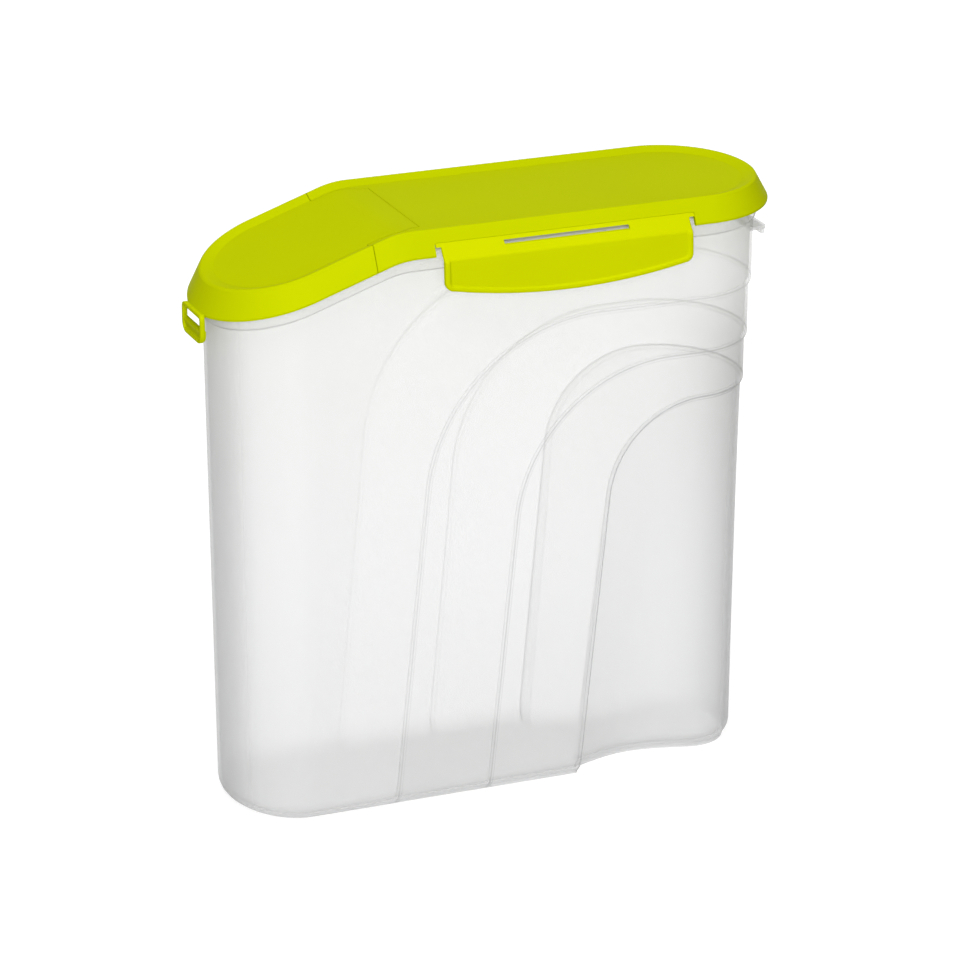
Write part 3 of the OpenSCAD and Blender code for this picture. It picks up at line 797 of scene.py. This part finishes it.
def softened(obj, width):
    """Rounds the sharp edges of an object."""
    modifier = obj.modifiers.new("soft", "BEVEL")
    modifier.width = width * MM
    modifier.segments = 3
    modifier.limit_method = "ANGLE"
    modifier.angle_limit = math.radians(SMOOTH_ANGLE)
    modifier.harden_normals = False
    return evaluated(obj, SMOOTH_ANGLE)


def flap_plan(g):
    """Plan of the flap, grown by g and open past the nose."""
    half = [
        (-FAR, -FAR), (SEAM_X + g, -FAR),
        (SEAM_X + g, -TONGUE_HALF - g),
        (HINGE_X - HINGE_NECK - HINGE_TAPER, -TONGUE_HALF - g),
        (HINGE_X - HINGE_NECK, -HINGE_HALF - g),
        (HINGE_X + g, -HINGE_HALF - g)]
    return half + [(x, -y) for x, y in half[::-1]]


def clip_window(side):
    """Block that cuts the opening in the skirt in which a clip sits."""
    corner = 2 * FIT
    low = SHOULDER_Z - SKIRT_OUT
    left, right = CLIP_X - NOTCH_LENGTH, CLIP_END + NOTCH_LENGTH
    view = rounded_path([
        (left, low, 0), (right, low, 0),
        (right, CLIP_HINGE_Z, corner), (left, CLIP_HINGE_Z, corner)], closed=True)
    near, far = sorted([side * (HALF_RIM + FIT), side * (HALF_RIM + 2 * SKIRT_OUT)])
    return prism("clip_window", view, near, far, axis=1)


def build_lid():
    """The lid behind the flap, with its plug and the cross wall behind the flap's hinge."""
    shell = cover()
    wall = plug("lid_plug", FIT, PLUG_DEPTH, LID_T)
    for part in (shell, wall):
        cut(part, prism("flap_space", flap_plan(FIT), 0, FAR))
        for side in (-1, 1):
            cut(part, clip_window(side))
    cross_x = HINGE_X + CROSS_SETBACK
    cross_half = HALF_RIM - WALL - FIT - LID_T / 2
    cross = rounded_box(
        "cross_wall", (cross_x, -cross_half, SHOULDER_Z + RIM_RISE - PLUG_DEPTH + CROSS_LIFT),
        (cross_x + LID_T, cross_half, SHOULDER_Z + SEAT_RISE + LID_T / 2), 0.3)
    return joined("lid_shell", [shell, wall, cross])


def finger_loop():
    """Frame that hangs from the skirt's edge, with a window and a scooped lower bar."""
    nose_x = NOSE_CENTRE - NOSE_REACH - DRAFT - SKIRT_OUT
    face_x = nose_x - LOOP_REACH
    top = float(edge_z(nose_x)) + LOOP_RISE
    low = top - LOOP_HEIGHT
    window_top = top - LOOP_HEAD
    window_low = window_top - LOOP_WINDOW
    half = LOOP_WIDTH / 2
    inner = half - LOOP_BAR

    def plan(inset):
        """Outline of the loop seen from the nose, drawn in by an inset."""
        side, foot, head = half - inset, low + inset, top - inset
        low_corner, high_corner = LOOP_CORNER - inset, LOOP_UPPER_CORNER - inset
        return rounded_path([
            (-side, foot, low_corner), (side, foot, low_corner),
            (side, head, high_corner), (-side, head, high_corner)], closed=True, steps=10)

    frame = prism("loop_frame", plan(0), face_x, face_x + LOOP_T, axis=0)
    window = rounded_path([
        (-inner, low + LOOP_LIP, LOOP_CORNER / 2), (inner, low + LOOP_LIP, LOOP_CORNER / 2),
        (inner, window_top, 1), (-inner, window_top, 1)], closed=True, steps=6)
    cut(frame, prism("loop_hole", window, face_x - 1, face_x + LOOP_T + 1, axis=0))
    softened(frame, LOOP_SOFT)
    front, back = face_x + LOOP_T / 2, face_x + LOOP_REACH + LOOP_HEAD_DEPTH
    foot, head_top = window_top + 0.2, top - LOOP_HEAD_DROP
    section = [(front, foot), (back, foot), (back, head_top), (front, head_top)]
    head = prism("loop_head", section, LOOP_HEAD_INSET - half, half - LOOP_HEAD_INSET, axis=1)
    softened(head, 0.3)
    grip = rounded_path([
        (face_x + 0.2, window_low, 0.5), (face_x + LOOP_GRIP_T, window_low + LOOP_GRIP_RISE, 0.7),
        (face_x + LOOP_GRIP_T, low + LOOP_LIP / 2, 1.0), (face_x + 0.45, low + LOOP_LIP / 2, 0),
        (face_x + 0.45, low + LOOP_LIP + 0.3, 0.2), (face_x + LOOP_SCOOP, low + LOOP_LIP + 0.9, 0.5)],
        closed=True, steps=5)
    bar = prism("loop_grip", grip, -half, half, axis=1)
    cut(bar, prism("loop_plan", plan(0.35), face_x - 2, face_x + 6, axis=0), "INTERSECT", SMOOTH_ANGLE)
    return [frame, head, bar]


def build_flap():
    """The flap: its part of the cover, a short plug at the nose and the finger loop."""
    shell = cut(cover(), prism("flap_part", flap_plan(0), 0, FAR), "INTERSECT")
    nose_x = SEAM_X - FLAP_PLUG_SETBACK
    nose_part = prism("nose_part", [(-FAR, -FAR), (nose_x, -FAR), (nose_x, FAR), (-FAR, FAR)], 0, FAR)
    wall = cut(plug("flap_plug", FLAP_PLUG_GAP, FLAP_PLUG_DEPTH, LID_T), nose_part, "INTERSECT")
    return joined("flap_shell", [shell, wall, *finger_loop()])


# ---------------------------------------------------------------- side clips

# Rows in from each end and up from the lower edge, close together over the bead and the soft edge
EDGE_ROWS = np.array([
    0, 0.05, 0.15, 0.3, 0.5, 0.7, 0.9, 1.2, 1.5, 1.8, 2.0, 2.2, 2.4, 2.6, 2.8, 3.1, 3.5, 4, 4.7, 5.6, 6.8])
END_MARGIN = 8.5
END_COLUMNS = 12
SLOT_COLUMNS = 26
STRIP_ROW = 0.9
FOLD_ROWS = 16
FOLD_END = 2.4
FOLD_RADIUS = 1.8
FACE_SINK = 0.1
# Bead: how far in it ends and the width of its flank, as shares, and how it fades in at the fold
BEAD_END, BEAD_FLANK = 2.7, 0.9
BEAD_FADE_START, BEAD_FADE_RUN = 1.2, 2.6
SOFT_FADE_RUN = 0.6
THICKENING_RUN = 4


def clip_low_edge(x):
    """Height of the clip's lower edge below the hinge line, and the same without the rounded corners."""
    rise = CLIP_HEIGHT - CLIP_BOW
    reach = CLIP_LENGTH / 2 - CLIP_CORNER
    bow_r = (reach**2 + CLIP_BOW**2) / (2 * CLIP_BOW)
    off = np.abs(np.asarray(x, float) - CLIP_MIDDLE)
    plain = -rise - CLIP_BOW + bow_r - np.sqrt(bow_r**2 - np.minimum(off, reach) ** 2)
    past = np.clip(off - reach, 0, CLIP_CORNER)
    return plain + CLIP_CORNER - np.sqrt(CLIP_CORNER**2 - past**2), plain


def clip_surface(x, z):
    """How far the clip's outer face stands out from the hinge line, with the bead and without."""
    section = rounded_path([
        (0, 0, 0), (-CLIP_FOLD_DROP, CLIP_FOLD_OUT - FACE_SINK, FOLD_RADIUS),
        (-CLIP_HEIGHT - 1, CLIP_FOLD_OUT + CLIP_FACE_LEAN - FACE_SINK, 0)], closed=False, steps=8)
    plain = np.interp(-z, -section[:, 0], section[:, 1])
    _, flat_low = clip_low_edge(x)
    dx = CLIP_LENGTH / 2 - np.abs(x - CLIP_MIDDLE)
    dz = z - flat_low
    near = np.hypot(CLIP_CORNER - np.minimum(dx, CLIP_CORNER), CLIP_CORNER - np.minimum(dz, CLIP_CORNER))
    edge = np.where((dx < CLIP_CORNER) & (dz < CLIP_CORNER), CLIP_CORNER - near, np.minimum(dx, dz))
    bead = BEAD_RISE * smooth((BEAD_END * CLIP_BEAD - edge) / (BEAD_FLANK * CLIP_BEAD))
    bead = bead * smooth((-z - CLIP_FOLD_DROP + BEAD_FADE_START) / BEAD_FADE_RUN)
    over = EDGE_SOFT - np.sqrt(EDGE_SOFT**2 - np.clip(EDGE_SOFT - edge, 0, EDGE_SOFT) ** 2)
    over = over * smooth((-z - HINGE_STRIP) / SOFT_FADE_RUN)
    return plain + bead - over, plain


def clip_columns():
    """Places along the clip, from the end of one hinge strip to the end of the other."""
    strip = np.array([STRIP_REACH, STRIP_REACH / 2])
    return np.concatenate([
        CLIP_X - strip, CLIP_X + EDGE_ROWS,
        np.linspace(CLIP_X + END_MARGIN, SLOT_START, END_COLUMNS),
        np.linspace(SLOT_START, SLOT_END, SLOT_COLUMNS)[1:-1],
        np.linspace(SLOT_END, CLIP_END - END_MARGIN, END_COLUMNS),
        CLIP_END - EDGE_ROWS[::-1], CLIP_END + strip[::-1]])


def clip_heights(columns):
    """Heights of the clip's rows in each column, against the hinge line and from the top down."""
    fold = np.linspace(-HINGE_STRIP - SLOT_HEIGHT, -CLIP_FOLD_DROP - FOLD_END, FOLD_ROWS)
    upper = np.concatenate([[-FIT / 3, -STRIP_ROW, -HINGE_STRIP], fold])
    low, _ = clip_low_edge(columns)
    return np.array([np.concatenate([upper, z_low + EDGE_ROWS[::-1]]) for z_low in low])


def plate_object(name, front, back, kept):
    """A closed plate over the kept cells of a grid, between the grid's front and back points."""
    rows = front.shape[1]
    count = front.shape[0] * rows
    faces, border = [], {}
    for i, j in zip(*np.nonzero(kept)):
        a, b = i * rows + j, (i + 1) * rows + j
        c, d = b + 1, a + 1
        faces += [(a, d, c, b), (count + a, count + b, count + c, count + d)]
        for edge in ((a, d), (d, c), (c, b), (b, a)):
            if edge[::-1] in border:
                del border[edge[::-1]]
            else:
                border[edge] = True
    faces += [(b, a, count + a, count + b) for a, b in border]
    points = np.concatenate([front.reshape(-1, 3), back.reshape(-1, 3)])
    used = np.unique(np.concatenate([np.array(f) for f in faces]))
    renumbered = np.zeros(len(points), int)
    renumbered[used] = np.arange(len(used))
    return mesh_object(name, points[used], [renumbered[list(f)] for f in faces], SMOOTH_ANGLE)


def build_clip(side):
    """A side clip with its hinge strip, slot, bead and catch, built in front and mirrored for the back."""
    columns = clip_columns()
    z = clip_heights(columns)
    x = np.repeat(columns[:, None], z.shape[1], axis=1)
    face, plain = clip_surface(np.clip(x, CLIP_X, CLIP_END), z)
    thickness = CLIP_T * (0.5 + 0.5 * smooth(-z / THICKENING_RUN))
    front = np.stack([x, -CLIP_HINGE_Y - face, CLIP_HINGE_Z + z], -1)
    back = np.stack([x, -CLIP_HINGE_Y - plain + thickness, CLIP_HINGE_Z + z], -1)
    # The strip is the two upper rows of cells, two columns longer at each end; the slot is in the third.
    kept = np.ones((len(columns) - 1, z.shape[1] - 1), bool)
    kept[:2, 2:] = kept[-2:, 2:] = False
    middle = (columns[:-1] + columns[1:]) / 2
    kept[(middle > SLOT_START) & (middle < SLOT_END), 2] = False
    plate = plate_object("clip_plate", front, back, kept)
    rib_top = SHOULDER_Z - COLLAR_DROP - LEDGE_T / 2 - FIT
    rib = rounded_box(
        "catch", (CLIP_X + LEDGE_INSET, -CLIP_HINGE_Y - CLIP_FOLD_OUT + CLIP_T / 2, rib_top - CATCH_RIB),
        (CLIP_END - LEDGE_INSET, -HALF_RIM - LEDGE_OUT - FIT, rib_top), 0.35)
    clip = joined("clip_front_shell" if side < 0 else "clip_back_shell", [plate, rib])
    if side > 0:
        clip.data.transform(Matrix.Scale(-1, 4, (0, 1, 0)))
        clip.data.flip_normals()
    return clip


# ---------------------------------------------------------------- materials

def add_grain(tree, shader, scale, detail, strength, distance):
    """A fine moulded grain on a shader; gives back the coordinates it lies in."""
    place = add_node(tree, "ShaderNodeTexCoord")
    noise = add_node(tree, "ShaderNodeTexNoise", in_Scale=scale, in_Detail=detail)
    bump = add_node(tree, "ShaderNodeBump", in_Strength=strength, in_Distance=distance)
    tree.links.new(place.outputs["Object"], noise.inputs["Vector"])
    tree.links.new(noise.outputs["Fac"], bump.inputs["Height"])
    tree.links.new(bump.outputs["Normal"], shader.inputs["Normal"])
    return place.outputs["Object"]


def tub_material():
    """Clear polypropylene with grain, whose cover follows the frost kept on the points and which is darkened
    and made more opaque by the painted shade kept there.
    """
    material, tree, shader = new_material("frosted_polypropylene_painted_shade", Roughness=0.4, Specular_IOR_Level=0.12)
    through = add_node(tree, "ShaderNodeBsdfTranslucent")
    clear = add_node(tree, "ShaderNodeBsdfTransparent")
    body = add_node(tree, "ShaderNodeMixShader", in_0=0.2)
    whole = add_node(tree, "ShaderNodeMixShader")
    depth = add_node(tree, "ShaderNodeVolumeAbsorption", in_Density=12.0, in_Color=(0.5, 0.5, 0.51, 1))
    frost = add_node(tree, "ShaderNodeAttribute", attribute_name=FROST)
    line = add_node(tree, "ShaderNodeAttribute", attribute_name=PAINTED_SHADE)
    alpha = add_node(tree, "ShaderNodeMapRange", clamp=False, in_To_Min=0.04, in_To_Max=0.45)
    # Painted shade makes the plastic more opaque and tints it darker
    shade_alpha = add_node(tree, "ShaderNodeMath", operation="MULTIPLY_ADD", in_1=0.32)
    painted_shade_tint = add_node(tree, "ShaderNodeValToRGB")
    painted_shade_tint.color_ramp.elements[0].color = (0.965, 0.965, 0.972, 1)
    painted_shade_tint.color_ramp.elements[1].color = (0.42, 0.42, 0.425, 1)
    links = tree.links
    links.new(depth.outputs[0], tree.nodes["Material Output"].inputs["Volume"])
    links.new(frost.outputs["Fac"], alpha.inputs[0])
    links.new(line.outputs["Fac"], shade_alpha.inputs[0])
    links.new(alpha.outputs[0], shade_alpha.inputs[2])
    links.new(line.outputs["Fac"], painted_shade_tint.inputs["Fac"])
    links.new(painted_shade_tint.outputs["Color"], shader.inputs["Base Color"])
    links.new(painted_shade_tint.outputs["Color"], through.inputs["Color"])
    links.new(shader.outputs[0], body.inputs[1])
    links.new(through.outputs[0], body.inputs[2])
    links.new(shade_alpha.outputs[0], whole.inputs["Fac"])
    links.new(clear.outputs[0], whole.inputs[1])
    links.new(body.outputs[0], whole.inputs[2])
    links.new(whole.outputs[0], tree.nodes["Material Output"].inputs["Surface"])
    add_grain(tree, shader, 900.0, 3.0, 0.08, 0.0004)
    return material


def lime_material(name, colour):
    """Lime polypropylene with a fine moulded grain and a faint flow of the colour."""
    material, tree, shader = new_material(name, Roughness=0.38, Specular_IOR_Level=0.002)
    place = add_grain(tree, shader, 1400.0, 2.0, 0.1, 0.0003)
    flow = add_node(tree, "ShaderNodeTexNoise", in_Scale=14.0, in_Detail=2.0)
    ramp = add_node(tree, "ShaderNodeValToRGB")
    ramp.color_ramp.elements[0].position = 0.3
    ramp.color_ramp.elements[1].position = 0.7
    ramp.color_ramp.elements[0].color = (*[c * 0.965 for c in colour], 1)
    ramp.color_ramp.elements[1].color = (*colour, 1)
    rough = add_node(tree, "ShaderNodeMapRange", in_To_Min=0.34, in_To_Max=0.44)
    tree.links.new(place, flow.inputs["Vector"])
    tree.links.new(flow.outputs["Fac"], ramp.inputs["Fac"])
    tree.links.new(ramp.outputs["Color"], shader.inputs["Base Color"])
    tree.links.new(flow.outputs["Fac"], rough.inputs[0])
    tree.links.new(rough.outputs[0], shader.inputs["Roughness"])
    return material


def dress(obj, material, body, node):
    """Gives a piece its material and body, and hides the CAD node it stands in for."""
    obj.data.materials.clear()
    obj.data.materials.append(material)
    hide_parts(node)
    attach(obj, body)


# ---------------------------------------------------------------- stage, lights and camera

FLOOR_TONE = 0.25
FLOOR_BOUNCE = 0.6
# Glow of the floor, in metres from the middle, up to plain white
GLOW_FROM, GLOW_TO = 0.15, 0.7
GLOW_MIDDLE, GLOW_WHITE = 0.86, 1.0
WORLD_LIGHT = 0.22


def grey(value):
    """A colour of one tone."""
    return value, value, value, 1


def seen_or_lit(tree, lit, seen, out):
    """Ends a tree with one shader for the light it gives and one for how it is seen, also by reflection."""
    path = add_node(tree, "ShaderNodeLightPath")
    share = path.outputs["Is Camera Ray"]
    for ray in ("Is Glossy Ray", "Is Transmission Ray"):
        either = add_node(tree, "ShaderNodeMath", operation="MAXIMUM")
        tree.links.new(share, either.inputs[0])
        tree.links.new(path.outputs[ray], either.inputs[1])
        share = either.outputs[0]
    pick = add_node(tree, "ShaderNodeMixShader")
    tree.links.new(share, pick.inputs["Fac"])
    tree.links.new(lit.outputs[0], pick.inputs[1])
    tree.links.new(seen.outputs[0], pick.inputs[2])
    tree.links.new(pick.outputs[0], out.inputs["Surface"])


def make_floor():
    """A pale floor that keeps the shadow and turns white further out."""
    bpy.ops.mesh.primitive_plane_add(size=12, location=(0, 0, 0))
    floor = bpy.context.object
    floor.name = "floor"
    material = bpy.data.materials.new("pale_floor")
    material.use_nodes = True
    tree = material.node_tree
    tree.nodes.clear()
    diffuse = add_node(tree, "ShaderNodeBsdfDiffuse", in_Color=grey(FLOOR_TONE))
    bounce = add_node(tree, "ShaderNodeBsdfDiffuse", in_Color=grey(FLOOR_BOUNCE))
    glow = add_node(tree, "ShaderNodeEmission")
    place = add_node(tree, "ShaderNodeTexCoord")
    reach = add_node(tree, "ShaderNodeVectorMath", operation="LENGTH")
    rise = add_node(
        tree, "ShaderNodeMapRange",
        in_From_Min=GLOW_FROM, in_From_Max=GLOW_TO, in_To_Min=GLOW_MIDDLE, in_To_Max=GLOW_WHITE)
    total = add_node(tree, "ShaderNodeAddShader")
    tree.links.new(place.outputs["Object"], reach.inputs[0])
    tree.links.new(reach.outputs["Value"], rise.inputs[0])
    tree.links.new(rise.outputs[0], glow.inputs["Strength"])
    tree.links.new(diffuse.outputs[0], total.inputs[0])
    tree.links.new(glow.outputs[0], total.inputs[1])
    seen_or_lit(tree, bounce, total, add_node(tree, "ShaderNodeOutputMaterial"))
    floor.data.materials.append(material)


def make_world():
    """A world that is seen as white and gives a plain, level light."""
    world = bpy.data.worlds.new("studio")
    bpy.context.scene.world = world
    world.use_nodes = True
    tree = world.node_tree
    tree.nodes.clear()
    light = add_node(tree, "ShaderNodeBackground", in_Strength=WORLD_LIGHT, in_Color=grey(1))
    white = add_node(tree, "ShaderNodeBackground", in_Strength=1.0, in_Color=grey(1))
    seen_or_lit(tree, light, white, add_node(tree, "ShaderNodeOutputWorld"))


def area_light(name, place, aim, size, power):
    """A lamp of a given size at a place, turned to where it aims."""
    data = bpy.data.lights.new(name, "AREA")
    data.shape = "RECTANGLE"
    data.size, data.size_y = size
    data.energy = power
    light = linked(name, data)
    light.location = place
    light.rotation_euler = (Vector(aim) - Vector(place)).to_track_quat("-Z", "Y").to_euler()


# Camera: where it aims, the direction it looks in, its distance, focal length and shift
AIM = Vector((0.4, 0.0, 135.7)) * MM
LOOK = Vector((0.3546, 0.8685, -0.3463)).normalized()
DISTANCE = 2.086
LENS = 178.3
SHIFT = (-0.0018, -0.0064)


def make_camera():
    """The camera of the picture that is rebuilt."""
    data = bpy.data.cameras.new("camera")
    data.lens = LENS
    data.sensor_width = 36
    data.shift_x, data.shift_y = SHIFT
    data.clip_start, data.clip_end = 0.05, 60
    camera = linked("camera", data)
    camera.location = AIM - LOOK * DISTANCE
    camera.rotation_euler = LOOK.to_track_quat("-Z", "Y").to_euler()
    bpy.context.scene.camera = camera


# ---------------------------------------------------------------- scene

LIME = (0.505, 0.573, 0.0)
LIME_CLIP = (0.565, 0.622, 0.0)
# Lamps: place, aim and size in metres, and power in watts
FRONT_LAMP = (-0.95, -2.25, 0.85), (0, 0, 0.13), (2.2, 1.5), 43
TOP_LAMP = (-0.2, -0.35, 2.2), (0, 0, 0.26), (1.8, 1.8), 31.5

make_camera()
make_world()
make_floor()
area_light("front", *FRONT_LAMP)
area_light("top", *TOP_LAMP)

dress(build_tub(), tub_material(), "container", "container")
dress(build_lid(), lime_material("lime_lid", LIME), "lid", "lid")
dress(build_flap(), lime_material("lime_flap", LIME), "spout_flap", "spout_flap")
dress(build_clip(-1), lime_material("lime_clip", LIME_CLIP), "clip_front", "clip_front")
dress(build_clip(1), lime_material("lime_clip_back", LIME_CLIP), "clip_back", "clip_back")

bpy.context.scene.view_settings.view_transform = "Standard"
